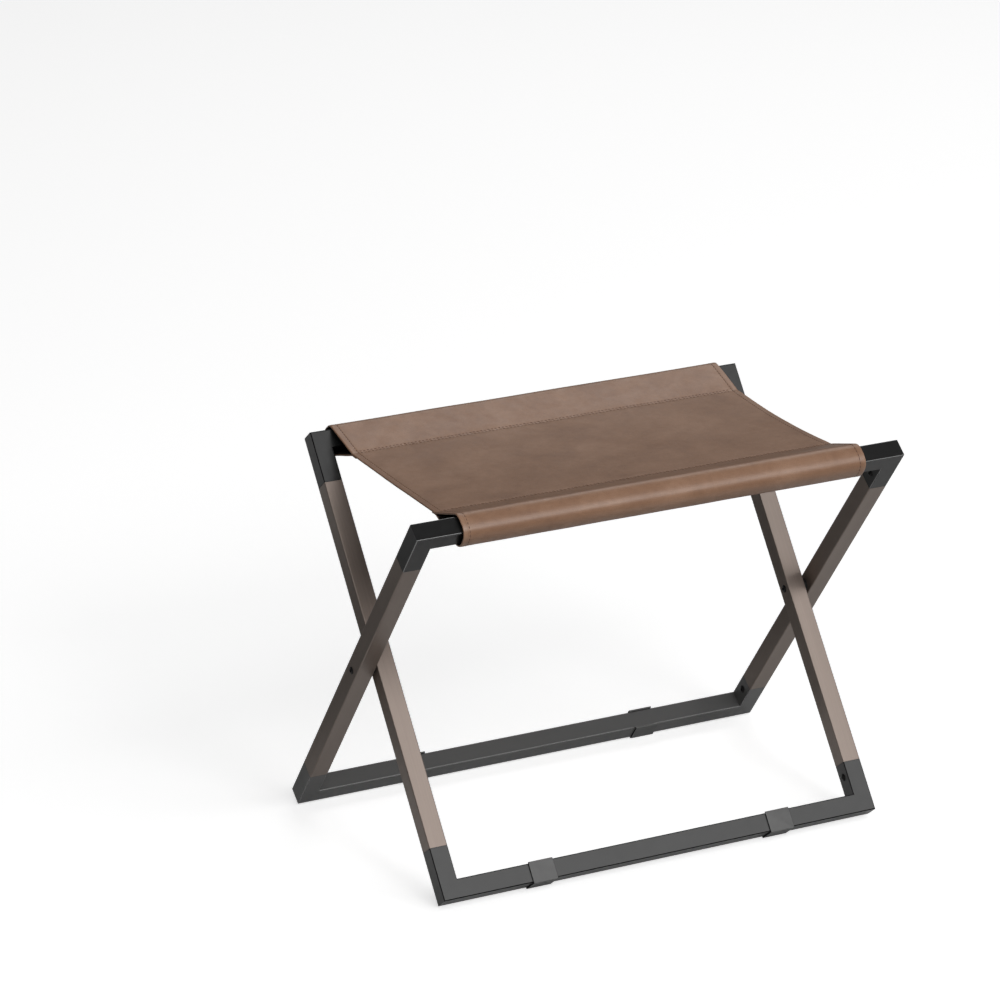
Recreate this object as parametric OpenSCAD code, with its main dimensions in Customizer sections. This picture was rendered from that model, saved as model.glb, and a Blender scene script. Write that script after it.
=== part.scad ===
// Folding luggage rack: two square-tube frames crossed on a pair of pivots,
// with a leather sling looped round the two top rails.
// X runs along the rails, -Y is the front, +Z is up, and the floor is z = 0.

/* [Rack] */
// Width over the outer frame, along the rails
rack_w = 680; // [560:5:760]
// Distance from the pivot to the end of a frame, along the legs
half_leg = 315; // [290:1:340]
// Angle between a leg and the floor when the rack is open
leg_angle = 52.1; // [48:0.1:56]
// Gap between an outer leg and the inner leg beside it
side_gap = 5; // [4:0.5:8]

/* [Tube] */
// Outside size of the square tube
tube = 25; // [22:0.5:30]
// Wall of the tube
wall = 1; // [0.8:0.1:2]
// Radius on the outside edges of the tube
edge_r = 1.5; // [0.8:0.1:2]
// Length of a dark corner stub, from the end of the frame
stub = 69; // [60:1:80]
// Width of the groove where a stub meets a leg
seam = 0.4; // [0.2:0.1:1]

/* [Foot pads] */
// Length of a pad along its rail
pad_len = 34; // [25:1:50]
// Wall of a pad
pad_t = 2; // [1.5:0.1:3]
// Distance from the middle of the rack to the middle of a pad
pad_x = 170; // [100:1:220]
// How far a pad's lips reach past the inner edge of its rail
pad_lip = 1.4; // [0.5:0.1:3]
// Depth of the flat that the floor cuts off a pad's lowest edge
pad_flat = 1.05; // [0.6:0.05:1.5]

/* [Sling] */
// Width of the sling, along the rails
sling_w = 564; // [480:1:564]
// Thickness of the leather
leather = 2; // [1.5:0.1:2.2]
// Outside radius of the loop round a rail
loop_r = 20.5; // [20:0.1:20.8]
// Distance from the middle of the sling to the seam that closes a loop
seam_y = 118; // [100:1:130]
// Leather left beyond that seam, under the panel
seam_tail = 10; // [5:1:15]
// Sag of the open panel between its two seams
sag = 3; // [1:0.5:6]
// Width of the sewn band that closes a loop
seam_w = 4; // [3:0.5:6]
// Height of the seams above the middle of the rails
seam_rise = 3; // [0:0.5:5]

/* [Bolts] */
// Diameter of the bolt shanks
bolt_d = 6; // [5:0.5:6]
// Diameter of the bolt heads
head_d = 10; // [9:0.5:11]
// Height of the bolt heads
head_h = 2; // [1.5:0.1:2.2]
// Distance from the end of a frame to a corner bolt
bolt_drop = 51.5; // [45:0.5:58]
// Outside diameter of the pivot barrel nut
barrel_d = 8; // [7.5:0.1:8.5]
// Outside diameter of the bush in an inner leg
bush_d = 10; // [9.5:0.1:12]
// Outside diameter of the washer between two legs
spacer_d = 18; // [14:1:22]

/* [Hidden] */

// The outer frame leans forward and the inner frame leans back
outer = 1;
inner = -1;
left = -1;
right = 1;
top = 1;
bottom = -1;

// Frame widths and the lean of a frame from upright
outer_w = rack_w;
inner_w = rack_w - 2 * (tube + side_gap);
lean = 90 - leg_angle;
inside = tube - 2 * wall;

// Height of the pivot: the pad's outer corner, less the flat that the floor cuts
pad_end = half_leg + pad_t;
pad_side = tube / 2 + pad_t;
pivot_z = pad_end * cos(lean) + pad_side * sin(lean) - pad_flat;

// Centre of a top rail, from the pivot
rail_u = half_leg - tube / 2;
rail_y = rail_u * sin(lean);
rail_z = rail_u * cos(lean);

// Fits
running = 0.05;
slip = 0.02;
hole_gap = 0.2;
body_gap = 0.15;
plug_gap = 0.15;
plug_reach = 30;
socket_d = 4;
socket_depth = 1.3;
dome_edge = 0.6;
thread_reach = 18;
thread_start = 5;
bolt_len = 16;

// How far a cut runs past the surface that it opens
over = 1;

// Top of the sling at its two closing seams, from the pivot
sling_top = rail_z + seam_rise;
panel_steps = 10;
loop_steps = 30;

dark = "#3f4040";
bronze = "#9c8c80";
pad_grey = "#6c6c6b";
brown = "#8a6550";
steel = "#262626";
nylon = "#1c1c1c";

$fn = 64;

// Square with rounded corners, about its centre
module rounded_square(size, r) {
    square([size, size - 2 * r], center = true);
    square([size - 2 * r, size], center = true);
    for (x = [-1, 1], y = [-1, 1])
        translate([x, y] * (size / 2 - r)) circle(r);
}

module tube_section() {
    difference() {
        rounded_square(tube, edge_r);
        square(inside, center = true);
    }
}

// Prism across the thickness of a frame, from an outline in its own plane
module across_frame(outline) {
    rotate([90, 0, 0])
        linear_extrude(2 * tube, center = true) polygon(outline);
}

// Puts a frame's own plane (X along the rails, Z along the legs) in the rack
module in_frame(which) {
    translate([0, 0, pivot_z]) rotate([which * lean, 0, 0]) children();
}

// Cylinder along X between two places, for bores and shanks
module along_x(x0, x1, d) {
    translate([min(x0, x1), 0, 0])
        rotate([0, 90, 0]) cylinder(d = d, h = abs(x1 - x0));
}

// Rail with mitred ends, at the top of a frame or at its bottom
module rail(w, end) {
    mirror([0, 0, end == bottom ? 1 : 0])
        intersection() {
            translate([0, 0, rail_u]) rotate([90, 0, 90])
                linear_extrude(w + tube, center = true) tube_section();
            across_frame([
                [-w / 2, half_leg],
                [w / 2, half_leg],
                [w / 2 - tube, half_leg - tube],
                [tube - w / 2, half_leg - tube]]);
        }
}

// Corner stub: mitred to its rail, with a bolt hole in its inner side
module stub(w, side, end) {
    mirror([0, 0, end == bottom ? 1 : 0])
        mirror([side == left ? 1 : 0, 0, 0])
            difference() {
                intersection() {
                    translate([w / 2 - tube / 2, 0, half_leg - stub])
                        linear_extrude(stub) tube_section();
                    across_frame([
                        [w / 2, half_leg],
                        [w / 2 - tube, half_leg - tube],
                        [w / 2 - tube, half_leg - stub - over],
                        [w / 2 + over, half_leg - stub - over],
                        [w / 2 + over, half_leg + over]]);
                }
                translate([0, 0, half_leg - bolt_drop])
                    along_x(w / 2 - tube - over, w / 2 - tube + wall + over,
                        bolt_d + 2 * hole_gap);
            }
}

// Straight leg tube with a pivot hole through both sides
module leg(w, side, bore_d) {
    mirror([side == left ? 1 : 0, 0, 0])
        difference() {
            translate([w / 2 - tube / 2, 0, 0])
                linear_extrude(2 * (half_leg - stub - seam), center = true) tube_section();
            along_x(w / 2 - tube - over, w / 2 + over, bore_d);
        }
}

// Repeats its children at the four corners of a frame, drawn for the top right
module four_corners() {
    for (x = [0, 1], z = [0, 1])
        mirror([0, 0, z]) mirror([x, 0, 0]) children();
}

// Plugs inside the joints between stubs and legs, tapped for the corner bolts
module corner_plugs(w) {
    four_corners()
        difference() {
            translate([w / 2 - tube / 2, 0, half_leg - stub - plug_reach])
                linear_extrude(2 * plug_reach)
                    square(inside - 2 * plug_gap, center = true);
            translate([0, 0, half_leg - bolt_drop])
                along_x(w / 2 - tube, w / 2 - tube + bolt_len + over, bolt_d + 2 * slip);
        }
}

// Domed head with a hexagon socket: it stands on z = 0 and faces +Z
module button_head() {
    rise = head_h - dome_edge;
    dome_r = (pow(head_d / 2, 2) + rise * rise) / (2 * rise);
    difference() {
        intersection() {
            cylinder(d = head_d, h = head_h);
            translate([0, 0, head_h - dome_r]) sphere(dome_r);
        }
        translate([0, 0, head_h - socket_depth])
            cylinder(d = socket_d, h = socket_depth + over, $fn = 6);
    }
}

// Corner bolts, with their heads on the inner sides of the stubs
module corner_bolts(w) {
    four_corners()
        translate([w / 2 - tube, 0, half_leg - bolt_drop]) {
            rotate([0, -90, 0]) button_head();
            along_x(0, bolt_len, bolt_d);
        }
}

// Clip-on pad over the bottom rail, with a flat where it meets the floor
module foot_pad(which, side) {
    intersection() {
        in_frame(which)
            translate([side * pad_x, 0, 0])
                rotate([90, 0, 90])
                    linear_extrude(pad_len, center = true)
                        difference() {
                            translate([-pad_side, -pad_end])
                                square([2 * pad_side, tube + pad_t + pad_lip]);
                            translate([-tube / 2, -half_leg])
                                square([tube, tube + pad_lip + over]);
                        }
        translate([side * pad_x - pad_len, -rack_w / 2, 0])
            cube([2 * pad_len, rack_w, pivot_z]);
    }
}

// Draws pivot parts for the right side, or mirrors them to the left
module pivot(side) {
    translate([0, 0, pivot_z])
        mirror([side == left ? 1 : 0, 0, 0]) children();
}

// Bolt from the outside, through the outer leg and into the barrel nut
module pivot_bolt(side) {
    pivot(side) {
        translate([outer_w / 2, 0, 0]) rotate([0, 90, 0]) button_head();
        along_x(outer_w / 2, outer_w / 2 - tube - side_gap - thread_reach, bolt_d);
    }
}

// Barrel nut from the inside: the inner leg turns on it
module pivot_nut(side) {
    inner_face = inner_w / 2 - tube;
    pivot(side)
        difference() {
            union() {
                translate([inner_face - 2 * running, 0, 0])
                    rotate([0, -90, 0]) button_head();
                along_x(inner_face - 2 * running, outer_w / 2 - tube, barrel_d);
            }
            along_x(inner_face + thread_start, outer_w / 2, bolt_d + 2 * slip);
        }
}

// Sleeve inside the outer leg, so that the bolt can't crush the tube
module pivot_sleeve(side) {
    pivot(side)
        difference() {
            along_x(outer_w / 2 - wall, outer_w / 2 - tube + wall, bush_d);
            along_x(outer_w / 2 + over, outer_w / 2 - tube - over, bolt_d + 4 * running);
        }
}

// Washer that keeps the two legs apart
module pivot_spacer(side) {
    pivot(side)
        difference() {
            along_x(inner_w / 2 + 2 * running, outer_w / 2 - tube, spacer_d);
            along_x(inner_w / 2 - over, outer_w / 2, barrel_d + 2 * running);
        }
}

// Bush through the inner leg, running on the barrel nut
module pivot_bush(side) {
    pivot(side)
        difference() {
            along_x(inner_w / 2 - tube, inner_w / 2, bush_d);
            along_x(inner_w / 2 - tube - over, inner_w / 2 + over, barrel_d + 2 * running);
        }
}

// Direction, from a circle's centre, in which a line from p touches the circle;
// way is 1 for the upper line and -1 for the lower one
function touch(c, r, p, way) =
    atan2(p.y - c.y, p.x - c.x) + way * acos(r / norm(p - c));

// Point on a circle in a direction
function on_circle(c, r, a) = c + r * [cos(a), sin(a)];

// Height of the panel's top at a distance y from the middle
function panel_top(y) = sling_top - sag * (1 - pow(y / seam_y, 2));

// Points along the panel from a place near its seam to the middle,
// a given depth under its top
function panel_line(start, depth) =
    [for (i = [0 : panel_steps])
        let (y = start - (start + body_gap) * i / panel_steps)
        [y, panel_top(y) - depth]];

// Cross-section of the front half: a loop round the rail, closed by a seam,
// and the panel from there to the middle
module sling_section() {
    c = [-rail_y, rail_z];
    inner_r = loop_r - leather;
    wedge_r = inner_r - slip;
    seam_top = [-seam_y, sling_top];
    seam_low = seam_top - [0, 2 * leather];
    hollow_end = seam_top - [seam_w, leather];
    tail_y = seam_tail - seam_y;
    from = touch(c, loop_r, seam_top, 1);
    to = 360 + touch(c, loop_r, seam_low, -1);
    panel_over = panel_line(-seam_y, 0);
    difference() {
        polygon(concat(
            [for (i = [0 : loop_steps])
                on_circle(c, loop_r, from + (to - from) * i / loop_steps)],
            [seam_low, [tail_y, panel_top(tail_y) - 2 * leather]],
            panel_line(tail_y, leather),
            [for (i = [panel_steps : -1 : 0]) panel_over[i]]));
        translate(c) circle(inner_r);
        polygon([
            c,
            on_circle(c, wedge_r, touch(c, wedge_r, hollow_end, 1)),
            hollow_end,
            on_circle(c, wedge_r, touch(c, wedge_r, hollow_end, -1))]);
    }
}

module sling_half() {
    translate([0, 0, pivot_z]) rotate([90, 0, 90])
        linear_extrude(sling_w, center = true) sling_section();
}

module outer_top_rail() { color(dark) in_frame(outer) rail(outer_w, top); }
module outer_bottom_rail() { color(dark) in_frame(outer) rail(outer_w, bottom); }
module outer_top_stub_left() { color(dark) in_frame(outer) stub(outer_w, left, top); }
module outer_top_stub_right() { color(dark) in_frame(outer) stub(outer_w, right, top); }
module outer_bottom_stub_left() { color(dark) in_frame(outer) stub(outer_w, left, bottom); }
module outer_bottom_stub_right() { color(dark) in_frame(outer) stub(outer_w, right, bottom); }
module outer_leg_left() { color(bronze) in_frame(outer) leg(outer_w, left, bolt_d + 4 * running); }
module outer_leg_right() { color(bronze) in_frame(outer) leg(outer_w, right, bolt_d + 4 * running); }
module outer_corner_plugs() { color(nylon) in_frame(outer) corner_plugs(outer_w); }
module outer_corner_bolts() { color(steel) in_frame(outer) corner_bolts(outer_w); }
module outer_foot_pad_left() { color(pad_grey) foot_pad(outer, left); }
module outer_foot_pad_right() { color(pad_grey) foot_pad(outer, right); }

module inner_top_rail() { color(dark) in_frame(inner) rail(inner_w, top); }
module inner_bottom_rail() { color(dark) in_frame(inner) rail(inner_w, bottom); }
module inner_top_stub_left() { color(dark) in_frame(inner) stub(inner_w, left, top); }
module inner_top_stub_right() { color(dark) in_frame(inner) stub(inner_w, right, top); }
module inner_bottom_stub_left() { color(dark) in_frame(inner) stub(inner_w, left, bottom); }
module inner_bottom_stub_right() { color(dark) in_frame(inner) stub(inner_w, right, bottom); }
module inner_leg_left() { color(bronze) in_frame(inner) leg(inner_w, left, bush_d + 2 * slip); }
module inner_leg_right() { color(bronze) in_frame(inner) leg(inner_w, right, bush_d + 2 * slip); }
module inner_corner_plugs() { color(nylon) in_frame(inner) corner_plugs(inner_w); }
module inner_corner_bolts() { color(steel) in_frame(inner) corner_bolts(inner_w); }
module inner_foot_pad_left() { color(pad_grey) foot_pad(inner, left); }
module inner_foot_pad_right() { color(pad_grey) foot_pad(inner, right); }

module pivot_bolt_left() { color(steel) pivot_bolt(left); }
module pivot_bolt_right() { color(steel) pivot_bolt(right); }
module pivot_nut_left() { color(steel) pivot_nut(left); }
module pivot_nut_right() { color(steel) pivot_nut(right); }
module pivot_sleeve_left() { color(steel) pivot_sleeve(left); }
module pivot_sleeve_right() { color(steel) pivot_sleeve(right); }
module pivot_spacer_left() { color(nylon) pivot_spacer(left); }
module pivot_spacer_right() { color(nylon) pivot_spacer(right); }
module pivot_bush_left() { color(nylon) pivot_bush(left); }
module pivot_bush_right() { color(nylon) pivot_bush(right); }

module sling_front() { color(brown) sling_half(); }
module sling_rear() { color(brown) mirror([0, 1, 0]) sling_half(); }

outer_top_rail();
outer_bottom_rail();
outer_top_stub_left();
outer_top_stub_right();
outer_bottom_stub_left();
outer_bottom_stub_right();
outer_leg_left();
outer_leg_right();
outer_corner_plugs();
outer_corner_bolts();
outer_foot_pad_left();
outer_foot_pad_right();
inner_top_rail();
inner_bottom_rail();
inner_top_stub_left();
inner_top_stub_right();
inner_bottom_stub_left();
inner_bottom_stub_right();
inner_leg_left();
inner_leg_right();
inner_corner_plugs();
inner_corner_bolts();
inner_foot_pad_left();
inner_foot_pad_right();
pivot_bolt_left();
pivot_bolt_right();
pivot_nut_left();
pivot_nut_right();
pivot_sleeve_left();
pivot_sleeve_right();
pivot_spacer_left();
pivot_spacer_right();
pivot_bush_left();
pivot_bush_right();
sling_front();
sling_rear();
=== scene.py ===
import math
import random

import bpy
import numpy as np
from mathutils import Matrix, Vector


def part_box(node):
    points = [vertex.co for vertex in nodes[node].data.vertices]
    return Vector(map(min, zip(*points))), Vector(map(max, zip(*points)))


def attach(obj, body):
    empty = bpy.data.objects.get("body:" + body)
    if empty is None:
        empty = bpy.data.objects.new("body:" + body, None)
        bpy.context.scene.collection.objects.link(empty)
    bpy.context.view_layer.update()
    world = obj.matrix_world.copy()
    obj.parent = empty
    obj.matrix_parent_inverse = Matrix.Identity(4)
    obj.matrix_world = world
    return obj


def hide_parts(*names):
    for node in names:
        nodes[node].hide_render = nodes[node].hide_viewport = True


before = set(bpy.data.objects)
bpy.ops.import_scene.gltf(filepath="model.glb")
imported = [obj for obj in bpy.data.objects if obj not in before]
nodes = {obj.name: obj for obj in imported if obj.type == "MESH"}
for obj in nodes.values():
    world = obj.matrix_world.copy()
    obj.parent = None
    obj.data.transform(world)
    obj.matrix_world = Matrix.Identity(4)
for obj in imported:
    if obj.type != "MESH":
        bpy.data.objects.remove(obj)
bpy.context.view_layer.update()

MM = 0.001


def centre_of(node):
    """Middle of a CAD node's box at rest."""
    low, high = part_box(node)
    return (Vector(low) + Vector(high)) / 2


# ---------------------------------------------------------------- camera

# The photograph's view: a long lens, from the front left and a little above
LENS_MM = 154.04
SENSOR_MM = 36.0
AZIMUTH = math.radians(-25.881)
ELEVATION = math.radians(19.905)
ROLL = math.radians(-0.4807)
CAMERA_DISTANCE = 5.40383
LOOK_LEFT = 0.13031
LOOK_ABOVE_PIVOT = 0.19337


def place_camera():
    """Camera at the photograph's angle, with the rack where the photograph has it."""
    pivot = centre_of("pivot_spacer_left")
    target = Vector((-LOOK_LEFT, 0, pivot.z + LOOK_ABOVE_PIVOT))
    back = Vector((
        math.sin(AZIMUTH) * math.cos(ELEVATION),
        -math.cos(AZIMUTH) * math.cos(ELEVATION),
        math.sin(ELEVATION)))
    level = Vector((math.cos(AZIMUTH), math.sin(AZIMUTH), 0))
    upward = back.cross(level)
    right = level * math.cos(ROLL) + upward * math.sin(ROLL)
    up = upward * math.cos(ROLL) - level * math.sin(ROLL)
    data = bpy.data.cameras.new("photo_camera")
    data.lens = LENS_MM
    data.sensor_width = SENSOR_MM
    data.dof.use_dof = False
    camera = bpy.data.objects.new("photo_camera", data)
    bpy.context.collection.objects.link(camera)
    place = Matrix((right, up, back)).transposed().to_4x4()
    place.translation = target + back * CAMERA_DISTANCE
    camera.matrix_world = place
    bpy.context.scene.camera = camera


# ---------------------------------------------------------------- studio

# Half the width of the floor, and how white its paper is
FLOOR_HALF = 60.0
PAPER = 0.9
# Light that the floor adds of its own where the camera sees it
FLOOR_GLOW = 0.59
# How white the floor is in the light that it throws on the rack
FLOOR_BOUNCE = 0.345
# How white it is in reflections: (distance behind the pivot, tone), within reach of the pivot
FLOOR_REACH = 2.0
# The darker bands, far in front and from half a metre to a metre behind, are painted shade
FLOOR_PAINTED_SHADE_BANDS = (
    (-1.20, 0.10), (-0.40, 0.90), (0.15, 0.90), (0.50, 0.24), (1.00, 0.28), (1.30, 0.90))
# Light from the room, all round
ROOM = 0.10
# Height that the lamps aim at, and their distance from there
AIM_HEIGHT = 0.25
LAMP_DISTANCE = 7.0


def softbox(name, direction, width, height, radiance):
    """Large soft area light, aimed at the middle of the rack, of a given brightness."""
    direction = Vector(direction).normalized()
    data = bpy.data.lights.new(name, "AREA")
    data.shape = "RECTANGLE"
    data.size = width
    data.size_y = height
    data.energy = radiance * math.pi * width * height
    lamp = bpy.data.objects.new(name, data)
    bpy.context.collection.objects.link(lamp)
    lamp.location = Vector((0, 0, AIM_HEIGHT)) + direction * LAMP_DISTANCE
    lamp.rotation_mode = "QUATERNION"
    lamp.rotation_quaternion = direction.to_track_quat("Z", "Y")
    lamp.visible_camera = False


def ray_switch(tree, kind, for_kind, for_others):
    """One shader for a kind of ray, another for the rest. Only the stage has these."""
    path = tree.nodes.new("ShaderNodeLightPath")
    mix = tree.nodes.new("ShaderNodeMixShader")
    tree.links.new(path.outputs[kind], mix.inputs[0])
    tree.links.new(for_others, mix.inputs[1])
    tree.links.new(for_kind, mix.inputs[2])
    return mix.outputs[0]


def floor_material():
    """Seamless white paper: bright to the camera, dimmer in reflections and bounced light, with
    bands of painted shade in reflections.
    """
    material = bpy.data.materials.new("studio_floor")
    material.use_nodes = True
    tree = material.node_tree
    tree.nodes.clear()
    out = tree.nodes.new("ShaderNodeOutputMaterial")
    paper = tree.nodes.new("ShaderNodeBsdfDiffuse")
    paper.inputs["Color"].default_value = (PAPER, PAPER, PAPER, 1)
    glow = tree.nodes.new("ShaderNodeEmission")
    glow.inputs["Color"].default_value = (1, 1, 1, 1)
    glow.inputs["Strength"].default_value = FLOOR_GLOW
    seen = tree.nodes.new("ShaderNodeAddShader")
    tree.links.new(paper.outputs[0], seen.inputs[0])
    tree.links.new(glow.outputs[0], seen.inputs[1])
    place = tree.nodes.new("ShaderNodeTexCoord")
    axes = tree.nodes.new("ShaderNodeSeparateXYZ")
    tree.links.new(place.outputs["Object"], axes.inputs["Vector"])
    reach = tree.nodes.new("ShaderNodeMapRange")
    reach.inputs["From Min"].default_value = -FLOOR_REACH
    reach.inputs["From Max"].default_value = FLOOR_REACH
    tree.links.new(axes.outputs["Y"], reach.inputs["Value"])
    bands = tree.nodes.new("ShaderNodeValToRGB")
    for _ in range(len(FLOOR_PAINTED_SHADE_BANDS) - 2):
        bands.color_ramp.elements.new(0.5)
    for band, (y, tone) in zip(bands.color_ramp.elements, FLOOR_PAINTED_SHADE_BANDS):
        band.position = (y / FLOOR_REACH + 1) / 2
        band.color = (tone, tone, tone, 1)
    tree.links.new(reach.outputs["Result"], bands.inputs["Fac"])
    mirrored = tree.nodes.new("ShaderNodeBsdfDiffuse")
    tree.links.new(bands.outputs["Color"], mirrored.inputs["Color"])
    bounce = tree.nodes.new("ShaderNodeBsdfDiffuse")
    bounce.inputs["Color"].default_value = (FLOOR_BOUNCE, FLOOR_BOUNCE, FLOOR_BOUNCE, 1)
    unseen = ray_switch(tree, "Is Glossy Ray", mirrored.outputs[0], bounce.outputs[0])
    surface = ray_switch(tree, "Is Camera Ray", seen.outputs[0], unseen)
    tree.links.new(surface, out.inputs["Surface"])
    return material


def build_floor():
    """Plain floor under the rack, far wider than the view."""
    mesh = bpy.data.meshes.new("studio_floor")
    corners = [(x * FLOOR_HALF, y * FLOOR_HALF, 0) for x, y in ((-1, -1), (1, -1), (1, 1), (-1, 1))]
    mesh.from_pydata(corners, [], [(0, 1, 2, 3)])
    mesh.materials.append(floor_material())
    floor = bpy.data.objects.new("studio_floor", mesh)
    bpy.context.collection.objects.link(floor)


def build_world():
    """Dim room round the softboxes, with a white backdrop to the camera."""
    world = bpy.data.worlds.new("studio")
    bpy.context.scene.world = world
    world.use_nodes = True
    tree = world.node_tree
    tree.nodes.clear()
    out = tree.nodes.new("ShaderNodeOutputWorld")
    room = tree.nodes.new("ShaderNodeBackground")
    room.inputs["Color"].default_value = (1, 1, 1, 1)
    room.inputs["Strength"].default_value = ROOM
    backdrop = tree.nodes.new("ShaderNodeBackground")
    backdrop.inputs["Color"].default_value = (1, 1, 1, 1)
    surface = ray_switch(tree, "Is Camera Ray", backdrop.outputs[0], room.outputs[0])
    tree.links.new(surface, out.inputs["Surface"])


def build_studio():
    """Floor, room and lamps, with the renderer's plain colours."""
    build_floor()
    build_world()
    softbox("key", (0.14, -0.74, 0.64), 12.0, 4.4, 2.1)
    softbox("core", (0.10, -0.83, 0.50), 1.65, 1.65, 8.0)
    softbox("top", (0.45, 0.55, 0.70), 4.0, 3.0, 1.5)
    view = bpy.context.scene.view_settings
    view.view_transform = "Standard"
    view.look = "None"
    view.exposure = 0
    view.gamma = 1


# ---------------------------------------------------------------- materials

# Largest share of a tube's normal along its own axes: from here down it is a rounded edge,
# and from there up a flat side
ROUNDED = 0.93
FLAT = 0.985


class Surface:
    """A Principled material with a few shorthands for its node tree."""

    def __init__(self, name, **fixed):
        self.material = bpy.data.materials.new(name)
        self.material.use_nodes = True
        self.tree = self.material.node_tree
        self.tree.nodes.clear()
        out = self.tree.nodes.new("ShaderNodeOutputMaterial")
        self.shader = self.tree.nodes.new("ShaderNodeBsdfPrincipled")
        self.link(self.shader.outputs["BSDF"], out.inputs["Surface"])
        for socket, value in fixed.items():
            self.shader.inputs[socket.replace("_", " ")].default_value = value
        coordinates = self.node("ShaderNodeTexCoord")
        self.place = coordinates.outputs["Object"]
        self.facing = coordinates.outputs["Normal"]

    def node(self, kind, **settings):
        made = self.tree.nodes.new(kind)
        for name, value in settings.items():
            setattr(made, name, value)
        return made

    def link(self, source, socket):
        self.tree.links.new(source, socket)

    def turned(self, angle, stretch):
        """Coordinates turned about X, then scaled: for grain that follows a leaning tube."""
        turn = self.node("ShaderNodeMapping")
        turn.inputs["Rotation"].default_value = (angle, 0, 0)
        self.link(self.place, turn.inputs["Vector"])
        scale = self.node("ShaderNodeMapping")
        scale.inputs["Scale"].default_value = stretch
        self.link(turn.outputs["Vector"], scale.inputs["Vector"])
        return scale.outputs["Vector"]

    def noise(self, scale, detail=2.0, roughness=0.5, distortion=0.0, place=None):
        made = self.node("ShaderNodeTexNoise")
        made.inputs["Scale"].default_value = scale
        made.inputs["Detail"].default_value = detail
        made.inputs["Roughness"].default_value = roughness
        made.inputs["Distortion"].default_value = distortion
        self.link(place or self.place, made.inputs["Vector"])
        return made.outputs["Fac"]

    def cells(self, scale, feature, place=None):
        made = self.node("ShaderNodeTexVoronoi", feature=feature)
        made.inputs["Scale"].default_value = scale
        self.link(place or self.place, made.inputs["Vector"])
        return made.outputs["Distance"]

    def ranged(self, source, low, high, to_low, to_high, smooth=False):
        made = self.node("ShaderNodeMapRange")
        if smooth:
            made.interpolation_type = "SMOOTHSTEP"
        for socket, value in zip(made.inputs[1:5], (low, high, to_low, to_high)):
            socket.default_value = value
        self.link(source, made.inputs["Value"])
        return made.outputs["Result"]

    def edges(self, lean):
        """1 on the rounded edges of a leaning square tube, 0 on its flat sides."""
        turn = self.node("ShaderNodeMapping", vector_type="VECTOR")
        turn.inputs["Rotation"].default_value = (lean, 0, 0)
        self.link(self.facing, turn.inputs["Vector"])
        axes = self.node("ShaderNodeSeparateXYZ")
        self.link(turn.outputs["Vector"], axes.inputs["Vector"])
        x, y, z = (self.math("ABSOLUTE", axes.outputs[axis]) for axis in "XYZ")
        squareness = self.math("MAXIMUM", x, self.math("MAXIMUM", y, z))
        return self.ranged(squareness, ROUNDED, FLAT, 1.0, 0.0, smooth=True)

    def math(self, operation, a, b=None):
        made = self.node("ShaderNodeMath", operation=operation)
        for socket, value in zip(made.inputs, (a, b)):
            if isinstance(value, (int, float)):
                socket.default_value = value
            elif value is not None:
                self.link(value, socket)
        return made.outputs["Value"]

    def ramp(self, source, *stops):
        """Colour from a 0 to 1 value, by (place, colour) stops."""
        made = self.node("ShaderNodeValToRGB")
        bar = made.color_ramp
        while len(bar.elements) < len(stops):
            bar.elements.new(0.5)
        for element, (place, colour) in zip(bar.elements, stops):
            element.position = place
            element.color = (*colour, 1)
        self.link(source, made.inputs["Fac"])
        return made.outputs["Color"]

    def mixed(self, factor, a, b, blend="MIX"):
        """Colour a towards b. Either may be a socket or a plain colour."""
        made = self.node("ShaderNodeMix", data_type="RGBA", blend_type=blend)
        for name, value in (("Factor", factor), ("A", a), ("B", b)):
            kind = "VALUE" if name == "Factor" else "RGBA"
            socket = next(s for s in made.inputs if s.name == name and s.type == kind)
            if isinstance(value, (int, float)):
                socket.default_value = value
            elif isinstance(value, tuple):
                socket.default_value = (*value, 1)
            else:
                self.link(value, socket)
        return next(s for s in made.outputs if s.type == "RGBA")

    def bump(self, *layers):
        """Stacks (height, depth in metres, strength) layers into the shader's normal."""
        under = None
        for height, depth, strength in layers:
            made = self.node("ShaderNodeBump")
            made.inputs["Distance"].default_value = depth
            made.inputs["Strength"].default_value = strength
            self.link(height, made.inputs["Height"])
            if under is not None:
                self.link(under, made.inputs["Normal"])
            under = made.outputs["Normal"]
        self.link(under, self.shader.inputs["Normal"])

    def wire(self, socket, source):
        self.link(source, self.shader.inputs[socket])


# Painted light, a paler coat towards the floor: heights between which it thins out, and its share
# on the rear and the front bottom rail
PAINTED_LIGHT_LOW = 0.06
PAINTED_LIGHT_HIGH = 0.36
PAINTED_LIGHT_REAR = 0.95
PAINTED_LIGHT_FRONT = 0.205


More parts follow.
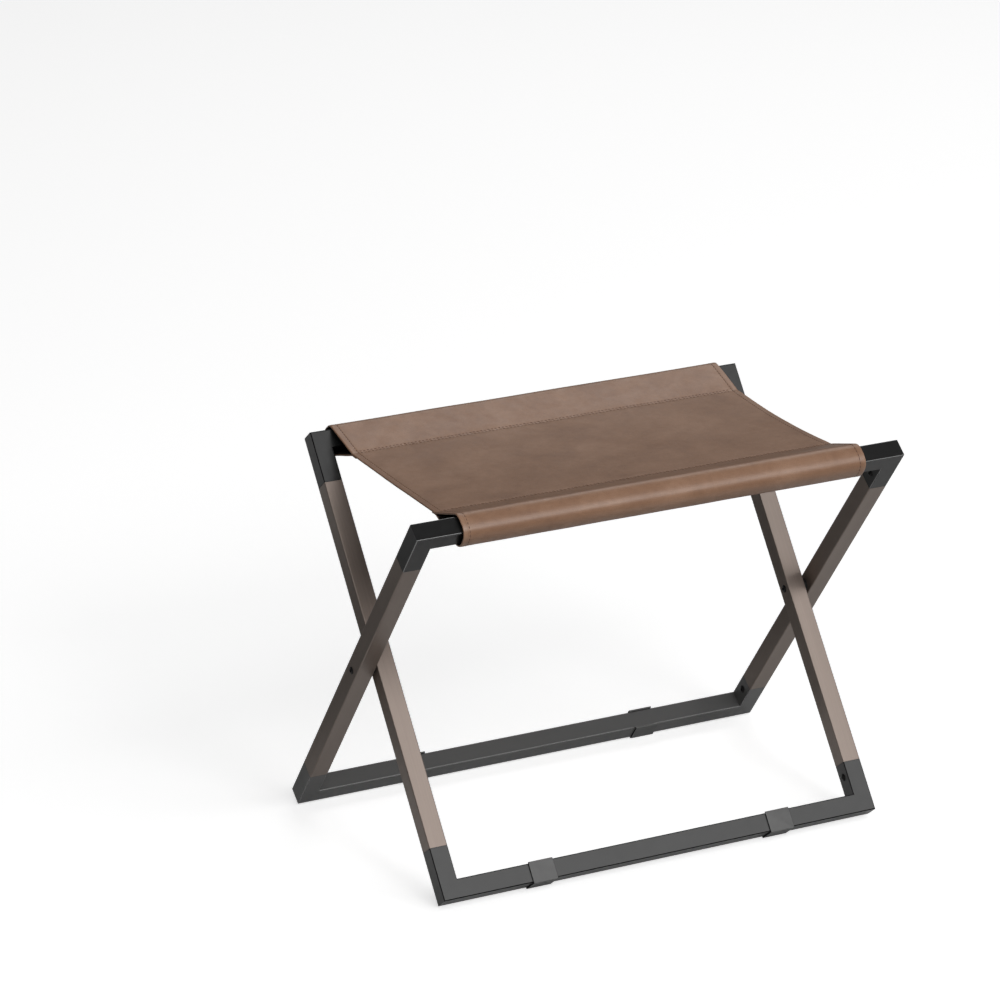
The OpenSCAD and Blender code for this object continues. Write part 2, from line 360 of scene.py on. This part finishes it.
def powder_coat(name, lean, painted_light_share, polished):
    """Charcoal powder coat: satin, with a fine orange peel, paler towards the floor as painted
    light, and darker where it rounds an edge as painted shade.
    The outer frame's edges are polished by handling."""
    made = Surface(name, Specular_IOR_Level=0.5, Coat_Roughness=0.10, Coat_IOR=2.45)
    cloud = made.noise(16, detail=3)
    peel = made.noise(420, detail=1)
    grit = made.noise(2200, detail=2)
    axes = made.node("ShaderNodeSeparateXYZ")
    made.link(made.place, axes.inputs["Vector"])
    # Painted light: the coat is paler towards the floor, more so on the outer frame
    dust_and_painted_light = made.ranged(axes.outputs["Z"], PAINTED_LIGHT_LOW, PAINTED_LIGHT_HIGH, painted_light_share, 0.0, smooth=True)
    coat = made.ramp(cloud, (0.3, (0.0105, 0.0106, 0.0107)), (0.7, (0.0145, 0.0145, 0.0144)))
    coat = made.mixed(dust_and_painted_light, coat, (0.128, 0.1277, 0.1262))
    edge = made.edges(lean)
    # Painted shade: the base colour is darker on the rounded edges
    edge_painted_shade = (0.004, 0.004, 0.004)
    made.wire("Base Color", made.mixed(edge, coat, edge_painted_shade))
    if polished:
        made.wire("Coat Weight", edge)
    else:
        made.wire("Specular IOR Level", made.ranged(edge, 0.0, 1.0, 0.5, 0.1))
    made.wire("Roughness", made.ranged(made.noise(90, detail=3), 0.3, 0.7, 0.28, 0.34))
    made.bump((peel, 0.00003, 0.35), (grit, 0.00001, 0.3))
    return made.material


def satin_bronze(name, lean):
    """Bronze anodised tube: faint drawing lines along the leg and a fine sparkle."""
    made = Surface(name, Metallic=0.55, Specular_IOR_Level=0.5)
    lines = made.noise(1, detail=3, place=made.turned(lean, (1500, 1500, 9)))
    broad = made.noise(1, detail=2, place=made.turned(lean, (60, 60, 3)))
    grit = made.noise(2600, detail=2)
    tone = made.ramp(broad, (0.25, (0.246, 0.198, 0.171)), (0.75, (0.273, 0.222, 0.192)))
    fine = made.ranged(lines, 0.3, 0.7, 0.94, 1.05)
    made.wire("Base Color", made.mixed(1.0, tone, fine, "MULTIPLY"))
    made.wire("Roughness", made.ranged(lines, 0.3, 0.7, 0.33, 0.40))
    made.bump((lines, 0.000008, 0.35), (grit, 0.000008, 0.3))
    return made.material


def soft_rubber():
    """Grey foot-pad rubber: dull, finely spark-eroded, a little dusty, with painted shade that
    darkens its cut ends.
    """
    made = Surface("pad_rubber")
    dust_and_painted_light = made.noise(55, detail=4, roughness=0.6)
    grit = made.noise(1500, detail=3)
    axes = made.node("ShaderNodeSeparateXYZ")
    made.link(made.facing, axes.inputs["Vector"])
    # Painted shade: the faces that point along X, the pad's cut ends, are darker
    sideways = made.math("ABSOLUTE", axes.outputs["X"])
    cut = made.ranged(sideways, 0.45, 0.85, 0.0, 1.0, smooth=True)
    tone = made.ramp(dust_and_painted_light, (0.3, (0.122, 0.122, 0.121)), (0.75, (0.144, 0.144, 0.142)))
    made.wire("Base Color", made.mixed(cut, tone, (0.012, 0.012, 0.012)))
    made.wire("Specular IOR Level", made.ranged(cut, 0.0, 1.0, 0.5, 0.15))
    made.wire("Roughness", made.ranged(grit, 0.3, 0.7, 0.42, 0.56))
    made.bump((grit, 0.00005, 0.45))
    return made.material


def black_steel():
    """Black-oxide bolts: dark metal with slightly uneven gloss."""
    made = Surface("bolt_steel", Metallic=0.85)
    patch = made.noise(700, detail=3)
    made.wire("Base Color", made.ramp(
        patch, (0.3, (0.022, 0.022, 0.023)), (0.7, (0.040, 0.039, 0.038))))
    made.wire("Roughness", made.ranged(made.noise(1800), 0.3, 0.7, 0.30, 0.46))
    made.bump((made.noise(3500), 0.00001, 0.4))
    return made.material


def black_nylon():
    """Moulded black nylon for plugs, washers and bushes."""
    made = Surface("nylon_black", Specular_IOR_Level=0.45)
    grain = made.noise(1900, detail=2)
    made.wire("Base Color", made.ramp(
        made.noise(120, detail=3), (0.3, (0.010, 0.010, 0.010)), (0.7, (0.017, 0.017, 0.017))))
    made.wire("Roughness", made.ranged(grain, 0.3, 0.7, 0.45, 0.6))
    made.bump((grain, 0.00003, 0.4))
    return made.material


def brown_leather():
    """Smooth brown leather: cloudy tone, fine pebble grain, paler burnished hems."""
    made = Surface("sling_leather", Specular_IOR_Level=0.72)
    cloud = made.noise(17, detail=5, roughness=0.55, distortion=0.5)
    mottle = made.noise(120, detail=4, roughness=0.6, distortion=0.3)
    pebble = made.cells(900, "SMOOTH_F1")
    crease = made.cells(420, "DISTANCE_TO_EDGE")
    pore = made.noise(2600, detail=2)
    tone = made.ramp(
        made.math("ADD", made.math("MULTIPLY", cloud, 0.68), made.math("MULTIPLY", mottle, 0.32)),
        (0.34, (0.276, 0.145, 0.084)),
        (0.50, (0.330, 0.179, 0.105)),
        (0.66, (0.386, 0.218, 0.134)))
    axes = made.node("ShaderNodeSeparateXYZ")
    made.link(made.place, axes.inputs["Vector"])
    from_middle = made.math("ABSOLUTE", axes.outputs["X"])
    hem = made.ranged(from_middle, HALF_WIDTH - HEM, HALF_WIDTH, 0.0, 0.30, smooth=True)
    tone = made.mixed(hem, tone, (0.42, 0.255, 0.170))
    # Painted shade along the groove of the hem stitches
    line = made.math("ABSOLUTE", made.math("SUBTRACT", from_middle, HALF_WIDTH - HEM_STITCH))
    groove = made.ranged(line, 0.0, GROOVE_SHADE, 0.22, 0.0, smooth=True)
    tone = made.mixed(groove, tone, (0.110, 0.062, 0.041))
    # Painted shade in the crease lines of the grain
    painted_crease_shade = made.ranged(crease, 0.0, 0.10, 0.22, 0.0, smooth=True)
    tone = made.mixed(painted_crease_shade, tone, (0.125, 0.072, 0.048))
    made.wire("Base Color", tone)
    made.wire("Roughness", made.ranged(made.noise(70, detail=3), 0.3, 0.7, 0.34, 0.43))
    made.bump(
        (made.ranged(crease, 0.0, 0.14, 0.0, 1.0, smooth=True), 0.00005, 0.35),
        (pebble, 0.00005, 0.25),
        (pore, 0.00002, 0.3))
    return made.material


def suede_backing_and_painted_shade():
    """Napped flesh side of the leather, dark: partly its own colour, partly painted shade for the
    inside of the loop.
    """
    made = Surface("sling_backing_painted_shade", Specular_IOR_Level=0.3)
    nap = made.noise(1100, detail=4, roughness=0.7)
    tone = made.ramp(
        made.noise(38, detail=3), (0.3, (0.026, 0.020, 0.017)), (0.7, (0.040, 0.031, 0.026)))
    fine = made.ranged(nap, 0.3, 0.7, 0.8, 1.2)
    made.wire("Base Color", made.mixed(1.0, tone, fine, "MULTIPLY"))
    made.wire("Roughness", made.ranged(nap, 0.3, 0.7, 0.80, 0.95))
    made.bump((nap, 0.00012, 0.5))
    return made.material


def brown_thread():
    """Waxed, twisted thread, a little darker than the leather."""
    made = Surface("sling_thread", Specular_IOR_Level=0.4)
    twist = made.node("ShaderNodeTexWave", wave_type="BANDS", bands_direction="DIAGONAL")
    twist.inputs["Scale"].default_value = 700
    twist.inputs["Distortion"].default_value = 1.0
    made.link(made.place, twist.inputs["Vector"])
    ply = twist.outputs["Fac"]
    made.wire("Base Color", made.ramp(
        ply, (0.15, (0.095, 0.053, 0.035)), (0.85, (0.190, 0.112, 0.075))))
    made.wire("Roughness", made.ranged(ply, 0.0, 1.0, 0.62, 0.5))
    made.bump((ply, 0.00008, 0.5))
    return made.material


# ---------------------------------------------------------------- sling

# Thickness of the leather
LEATHER = 2.0 * MM
# Seam that closes the loop: distance from the middle of the sling, height above the rails'
# middle, leather left past it, and distance of each row of stitches from it
SEAM_Y = 123.0 * MM
SEAM_RISE = 3.0 * MM
SEAM_TAIL = 10.0 * MM
SEAM_ROWS = 2.0 * MM
# Sag of the panel between its seams, and outside radius of the loop
SAG = 3.4 * MM
LOOP_R = 20.5 * MM
# The loop is a little square, because it bears on the corners of the rail
LOOP_SQUARE = 0.9 * MM
# Its lowest part is drawn in closer, most of all at the left
LOOP_TUCK = ((-1.0, 0.9 * MM), (0.0, 0.7 * MM), (1.0, 0.15 * MM))
# The left edge stands in a little from the full width, more so at the front
INSET = 1.6 * MM
INSET_SKEW = 0.9 * MM
# Pulled between the rails, the sling narrows at each side of its middle, in a flat curve
WAIST = 4.1 * MM
WAIST_POWER = 1.5
# Turned hems down both sides: width, line of stitches, what they add to the thickness, and
# the step at their inner edge
HEM = 10.0 * MM
HEM_STITCH = 8.6 * MM
HEM_EXTRA = 0.3 * MM
HEM_END = 0.8 * MM
# The stitches lie in a groove: its depth, its half width, and the width of its shade
GROOVE_DEPTH = 0.22 * MM
GROOVE_HALF = 0.75 * MM
GROOVE_SHADE = 1.2 * MM
# Swell of the hem between that groove and the edge
HEM_PILLOW = 0.16 * MM
# Puckers beside the seam: pitch, how far that wanders in radians and over what length,
# height and reach
PUCKER_PITCH = 12.3 * MM
PUCKER_SWAY = 1.6
PUCKER_WANDER = 83.0 * MM
PUCKER_RISE = 0.22 * MM
PUCKER_REACH = 9.0 * MM
# The seam is pulled in along its middle: depth and reach
SEAM_DIP = 0.35 * MM
SEAM_DIP_REACH = 3.5 * MM
# Waves in the leather: number, least and greatest height and lengths across and along, and
# the share of them that the loop loses
WAVES = 9
WAVE_HEIGHT = (0.07 * MM, 0.15 * MM)
WAVE_ACROSS = (70.0 * MM, 260.0 * MM)
WAVE_ALONG = (90.0 * MM, 300.0 * MM)
LOOP_CALM = 0.6
# Length over which they set in from the middle, where the two halves meet
WAVE_START = 30.0 * MM
# The calm and the tuck of the loop: where each sets in past the upper seam and over what
# length, and where it ends before the lower seam and over what length
CALM_SPAN = (10.0 * MM, 30.0 * MM, 5.0 * MM, 20.0 * MM)
TUCK_SPAN = (30.0 * MM, 30.0 * MM, 12.0 * MM, 30.0 * MM)
# How squarely the leather has to face down before it is tucked, and over what range
TUCK_FACING = 0.79
TUCK_FACING_RANGE = 0.2
HALF_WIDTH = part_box("sling_front")[1][0]
# Mesh: points round a side edge, and steps along the sling, across it and across a hem
EDGE_STEPS = 6
STEP_ALONG = 2.0 * MM
STEP_ACROSS = 4.2 * MM
STEP_HEM = 0.7 * MM
# Points of the path in the panel, round the loop and in the tail, its step, and the number
# of steps that its corners are softened over
PANEL_POINTS = 60
LOOP_POINTS = 120
TAIL_POINTS = 12
PATH_STEP = 0.5 * MM
PATH_SOFTENING = 5


def smooth_step(value):
    value = np.clip(value, 0, 1)
    return value * value * (3 - 2 * value)


class SlingPath:
    """Middle of the leather in the YZ plane, from the middle of the sling to the cut end."""

    def __init__(self, rail_centre, lean):
        self.rail = (-abs(rail_centre.y), rail_centre.z)
        corner = math.radians(45) + lean
        y_seam = -SEAM_Y
        z_seam = self.rail[1] + SEAM_RISE
        points = []
        for y in np.linspace(0, y_seam, PANEL_POINTS):
            points.append((y, z_seam - SAG * (1 - (y / SEAM_Y) ** 2) - LEATHER / 2))
        reach = math.hypot(y_seam - self.rail[0], SEAM_RISE)
        opening = math.acos(LOOP_R / reach)
        for angle in np.linspace(opening, math.tau - opening, LOOP_POINTS):
            radius = LOOP_R - LEATHER / 2 + LOOP_SQUARE * math.cos(4 * (angle - corner))
            points.append((
                self.rail[0] + radius * math.cos(angle),
                self.rail[1] + radius * math.sin(angle)))
        for y in np.linspace(y_seam, y_seam + SEAM_TAIL, TAIL_POINTS):
            points.append((y, z_seam - SAG * (1 - (y / SEAM_Y) ** 2) - 1.5 * LEATHER))
        points = self.evened(np.array(points), PATH_STEP)
        points = self.softened(points, PATH_SOFTENING)
        self.points = self.evened(points, PATH_STEP)
        steps = np.linalg.norm(np.diff(self.points, axis=0), axis=1)
        self.along = np.concatenate(([0], np.cumsum(steps)))
        self.length = float(self.along[-1])
        tangent = np.gradient(self.points, self.along, axis=0)
        tangent /= np.linalg.norm(tangent, axis=1)[:, None]
        self.normal = np.stack((tangent[:, 1], -tangent[:, 0]), axis=1)
        middle = self.length / 2
        first = self.along < middle
        self.seam = float(np.interp(SEAM_Y, -self.points[first, 0], self.along[first]))
        last = ~first & (self.along > self.length - 3 * SEAM_TAIL)
        self.low_seam = float(np.interp(-SEAM_Y, self.points[last, 0], self.along[last]))

    @staticmethod
    def evened(points, step):
        """The same line with points an even step apart."""
        lengths = np.linalg.norm(np.diff(points, axis=0), axis=1)
        along = np.concatenate(([0], np.cumsum(lengths)))
        count = int(round(along[-1] / step)) + 1
        even = np.linspace(0, along[-1], count)
        return np.stack([np.interp(even, along, points[:, k]) for k in (0, 1)], axis=1)

    @staticmethod
    def softened(points, width):
        """Rounds the line's corners, and leaves its ends in place."""
        reach = 3 * width
        weights = np.exp(-0.5 * (np.arange(-reach, reach + 1) / width) ** 2)
        weights /= weights.sum()
        start = 2 * points[0] - points[reach:0:-1]
        end = 2 * points[-1] - points[-2:-reach - 2:-1]
        padded = np.concatenate((start, points, end))
        return np.stack([np.convolve(padded[:, k], weights, "valid") for k in (0, 1)], axis=1)


class Sling:
    """Surface of one half of the sling. Across is x, along runs from the middle."""

    def __init__(self, path, side, seed):
        self.path = path
        self.side = side
        draw = random.Random(seed)
        self.waves = [
            (draw.uniform(*WAVE_HEIGHT),
             math.tau / draw.uniform(*WAVE_ACROSS) * draw.choice((-1, 1)),
             math.tau / draw.uniform(*WAVE_ALONG),
             draw.uniform(0, math.tau))
            for _ in range(WAVES)]
        self.pucker_phase = draw.uniform(0, math.tau)

    def within_loop(self, s, after, rise, before, fall):
        """1 round the loop and 0 outside it, with soft ends."""
        starts = smooth_step((s - self.path.seam - after) / rise)
        ends = smooth_step((self.path.low_seam - before - s) / fall)
        return starts * ends

    def ripple(self, x, s):
        """Small unevenness of the leather, off its middle line."""
        lift = np.zeros(np.broadcast(x, s).shape)
        for size, across, along, phase in self.waves:
            lift = lift + size * np.sin(across * x + along * s + phase)
        looped = self.within_loop(s, *CALM_SPAN)
        lift = lift * smooth_step(s / WAVE_START) * (1 - LOOP_CALM * looped)
        gap = np.abs(s - self.path.seam)
        wander = PUCKER_SWAY * np.sin(x * math.tau / PUCKER_WANDER + self.pucker_phase)
        pucker = PUCKER_RISE * np.sin(x * math.tau / PUCKER_PITCH + wander)
        lift = lift + pucker * np.exp(-((gap / PUCKER_REACH) ** 2))
        return lift - SEAM_DIP * np.exp(-((gap / SEAM_DIP_REACH) ** 2))

    def at(self, x, s, lift):
        """Points and outward normals at places on the sling, lifted off its middle line."""
        path = self.path
        y = np.interp(s, path.along, path.points[:, 0])
        z = np.interp(s, path.along, path.points[:, 1])
        ny = np.interp(s, path.along, path.normal[:, 0])
        nz = np.interp(s, path.along, path.normal[:, 1])
        places, sizes = zip(*LOOP_TUCK)
        around = self.within_loop(s, *TUCK_SPAN)
        under = smooth_step((-TUCK_FACING - nz) / TUCK_FACING_RANGE)
        tuck = np.interp(x / HALF_WIDTH, places, sizes) * around * under
        off = lift - tuck + self.ripple(x, s)
        share = x / HALF_WIDTH
        inset = INSET - INSET_SKEW * self.side * y / path.rail[0]
        waist = WAIST * np.clip(1 - (y / path.rail[0]) ** 2, 0, 1) ** WAIST_POWER
        shape = np.broadcast(x, off).shape
        points = np.stack([
            np.broadcast_to(x + inset * (1 - share) / 2 - waist * share, shape),
            np.broadcast_to((y + ny * off) * -self.side, shape),
            np.broadcast_to(z + nz * off, shape)], axis=-1)
        normals = np.stack([
            np.zeros(shape),
            np.broadcast_to(ny * -self.side, shape),
            np.broadcast_to(nz, shape)], axis=-1)
        return points, normals


def strip_profile():
    """Places across the leather, with the lifts of its upper and lower faces there."""
    half = (LEATHER + HEM_EXTRA) / 2
    edge = [half * (1 - math.cos(a)) for a in np.linspace(0, math.pi / 2, EDGE_STEPS)]
    hem = list(np.arange(edge[-1] + STEP_HEM, HEM + 2.0 * MM, STEP_HEM))
    inset = edge + hem
    inner = HALF_WIDTH - inset[-1]
    count = int(round(2 * inner / STEP_ACROSS))
    middle = list(np.linspace(-inner, inner, count + 1))[1:-1]
    x = [-HALF_WIDTH + d for d in inset] + middle + [HALF_WIDTH - d for d in reversed(inset)]
    x = np.array(x)
    depth = HALF_WIDTH - np.abs(x)
    turned = 1 - smooth_step((depth - HEM) / HEM_END)
    upper = np.full(x.shape, LEATHER / 2)
    lower = -LEATHER / 2 - HEM_EXTRA * turned
    groove = GROOVE_DEPTH * np.exp(-(((depth - HEM_STITCH) / GROOVE_HALF) ** 2))
    pillow = HEM_PILLOW * np.sin(np.clip(depth / HEM_STITCH, 0, 1) * math.pi)
    upper = upper - groove + pillow
    lower = lower + groove
    centre = -HEM_EXTRA / 2
    bulge = np.sqrt(np.clip(1 - ((half - np.minimum(depth, half)) / half) ** 2, 0, 1))
    upper = np.where(depth < half, centre + (upper - centre) * bulge, upper)
    lower = np.where(depth < half, centre + (lower - centre) * bulge, lower)
    return x, upper, lower


def leather_mesh(name, sling):
    """Closed mesh of one half: both faces, the rounded side edges and the two cut ends."""
    x, upper, lower = strip_profile()
    columns = len(x)
    stations = int(round(sling.path.length / STEP_ALONG)) + 1
    s = np.linspace(0, sling.path.length, stations)[:, None]
    top, _ = sling.at(x[None, :], s, upper[None, :])
    under, _ = sling.at(x[None, 1:-1], s, lower[None, 1:-1])
    ring = np.concatenate((top, under[:, ::-1]), axis=1)
    around = ring.shape[1]
    verts = ring.reshape(-1, 3)
    faces = []
    for i in range(stations - 1):
        for j in range(around):
            a = i * around + j
            b = i * around + (j + 1) % around
            faces.append((a, a + around, b + around, b))
    # The two cut ends, closed by a strip of faces from edge to edge
    last = (stations - 1) * around
    for j in range(columns - 1):
        low = around - j
        quad = [j, j + 1, low - 1, low % around]
        if j == columns - 2:
            quad = [j, j + 1, low % around]
        if j == 0:
            quad = [j, j + 1, low - 1]
        faces.append(tuple(quad))
        faces.append(tuple(last + k for k in reversed(quad)))
    if sling.side > 0:
        faces = [tuple(reversed(f)) for f in faces]
    mesh = bpy.data.meshes.new(name)
    mesh.from_pydata(verts.tolist(), [], faces)
    mesh.polygons.foreach_set("use_smooth", [True] * len(mesh.polygons))
    # The faces on the underside show the suede backing, whose darkness is partly painted shade
    backed_and_shaded = range(columns - 1 + EDGE_STEPS // 2, around - EDGE_STEPS // 2)
    for k in range((stations - 1) * around):
        mesh.polygons[k].material_index = int(k % around in backed_and_shaded)
    for edge in mesh.edges:
        a, b = edge.vertices
        if (a < around and b < around) or (a >= last and b >= last):
            edge.use_edge_sharp = True
    mesh.update()
    return mesh


# Thread, and the stitches that show: pitch and length, rise of their arch and how far their
# ends are sunk, in radii of the thread, and how far the hem's rows lie below the surface
THREAD_R = 0.42 * MM
STITCH_PITCH = 5.2 * MM
STITCH_LENGTH = 3.5 * MM
STITCH_ARCH = 1.15
STITCH_SINK = 0.75
ROW_SINK = 0.2 * MM
THREAD_SIDES = 6
THREAD_RINGS = 6


def stitch_row(sling, place, start, stop, verts, faces):
    """Row of stitches. place(t) gives x, s, lift and which side is out at t along the row."""
    count = int((stop - start) / STITCH_PITCH)
    first = start + ((stop - start) - count * STITCH_PITCH) / 2
    angles = np.linspace(0, math.tau, THREAD_SIDES, endpoint=False)
    share = np.linspace(0, 1, THREAD_RINGS)
    arch = np.sin(share * math.pi) ** 0.6
    for k in range(count):
        t = first + k * STITCH_PITCH + share * STITCH_LENGTH
        x, s, lift, way = place(t)
        rise = way * THREAD_R * (arch * STITCH_ARCH - STITCH_SINK)
        points, normals = sling.at(x, s, lift + rise)
        tangents = np.gradient(points, axis=0)
        tangents /= np.linalg.norm(tangents, axis=1)[:, None]
        sideways = np.cross(tangents, normals)
        base = len(verts)
        for point, normal, side in zip(points, normals, sideways):
            for angle in angles:
                spoke = side * math.cos(angle) + normal * math.sin(angle)
                verts.append(point + spoke * THREAD_R)
        for ring in range(THREAD_RINGS - 1):
            for j in range(THREAD_SIDES):
                a = base + ring * THREAD_SIDES + j
                b = base + ring * THREAD_SIDES + (j + 1) % THREAD_SIDES
                faces.append((a, a + THREAD_SIDES, b + THREAD_SIDES, b))
        end = base + (THREAD_RINGS - 1) * THREAD_SIDES
        faces.append(tuple(base + j for j in range(THREAD_SIDES)))
        faces.append(tuple(end + j for j in reversed(range(THREAD_SIDES))))


def stitching_mesh(name, sling):
    """All the stitches of one half: down both hems, and two rows along the seam."""
    path = sling.path
    verts = []
    faces = []
    upper = LEATHER / 2 - ROW_SINK
    lower = -LEATHER / 2 - HEM_EXTRA + ROW_SINK
    for side in (-1, 1):
        x = side * (HALF_WIDTH - HEM_STITCH)
        over = lambda t, x=x: (np.full(t.shape, x), t, upper, 1)
        under = lambda t, x=x: (np.full(t.shape, x), t, lower, -1)
        stitch_row(sling, over, 0, path.length - 2 * MM, verts, faces)
        stitch_row(sling, under, 0, path.seam - SEAM_TAIL, verts, faces)
    width = HALF_WIDTH - HEM
    for row in (-SEAM_ROWS, SEAM_ROWS):
        s = path.seam + row
        over = lambda t, s=s: (t, np.full(t.shape, s), LEATHER / 2, 1)
        stitch_row(sling, over, -width, width, verts, faces)
        s = path.low_seam - row
        under = lambda t, s=s: (t, np.full(t.shape, s), LEATHER / 2, 1)
        stitch_row(sling, under, -width, width, verts, faces)
    mesh = bpy.data.meshes.new(name)
    mesh.from_pydata([tuple(v) for v in verts], [], faces)
    mesh.polygons.foreach_set("use_smooth", [True] * len(mesh.polygons))
    mesh.update()
    return mesh


def add_piece(name, mesh, materials, body):
    """Piece of the sling that rides on one of its two bodies."""
    for material in materials:
        mesh.materials.append(material)
    piece = bpy.data.objects.new(name, mesh)
    bpy.context.collection.objects.link(piece)
    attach(piece, body)
    return piece


def build_sling():
    """The two halves of the sling, each riding on its own body and looped round its rail."""
    leather = (brown_leather(), suede_backing_and_painted_shade())
    thread = (brown_thread(),)
    rail = centre_of("outer_top_rail")
    path = SlingPath(rail, abs(lean_of("outer")))
    for half, side, seed in (("front", 1, 11), ("rear", -1, 23)):
        sling = Sling(path, -side, seed)
        body = "sling_" + half
        skin = add_piece("leather_" + half, leather_mesh("leather_" + half, sling), leather, body)
        stitches = add_piece(
            "stitching_" + half, stitching_mesh("stitching_" + half, sling), thread, body)
        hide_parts(body)


# ---------------------------------------------------------------- frames


def lean_of(which):
    """Lean of a frame from upright, from the middles of its two rails."""
    span = centre_of(which + "_top_rail") - centre_of(which + "_bottom_rail")
    return math.atan2(span.y, span.z)


def soften_edges(node):
    """Small moulded radius on the edges of a foot pad."""
    weld = node.modifiers.new("joined_corners", "WELD")
    weld.merge_threshold = 0.01 * MM
    bevel = node.modifiers.new("soft_edges", "BEVEL")
    bevel.width = 0.5 * MM
    bevel.segments = 3
    bevel.limit_method = "ANGLE"
    bevel.harden_normals = True


def dress_frames():
    """Gives every CAD node that stays its material."""
    nylon = black_nylon()
    rubber = soft_rubber()
    steel = black_steel()
    by_word = {
        "plugs": nylon, "spacer": nylon, "bush": nylon, "foot_pad": rubber,
        "bolt": steel, "nut": steel, "sleeve": steel}
    frames = ("outer", "inner")
    bronze = {which: satin_bronze("leg_bronze_" + which, lean_of(which)) for which in frames}
    dark = {
        "outer": powder_coat("frame_dark_outer", lean_of("outer"), PAINTED_LIGHT_REAR, True),
        "inner": powder_coat("frame_dark_inner", lean_of("inner"), PAINTED_LIGHT_FRONT, False)}
    for name, node in nodes.items():
        if name.startswith("sling"):
            continue
        which = name.split("_")[0]
        if "_leg_" in name:
            material = bronze[which]
        elif "_rail" in name or "_stub_" in name:
            material = dark[which]
        else:
            material = next(by_word[word] for word in by_word if word in name)
        for slot in node.material_slots:
            slot.material = material
        if "foot_pad" in name:
            soften_edges(node)


place_camera()
build_studio()
dress_frames()
build_sling()
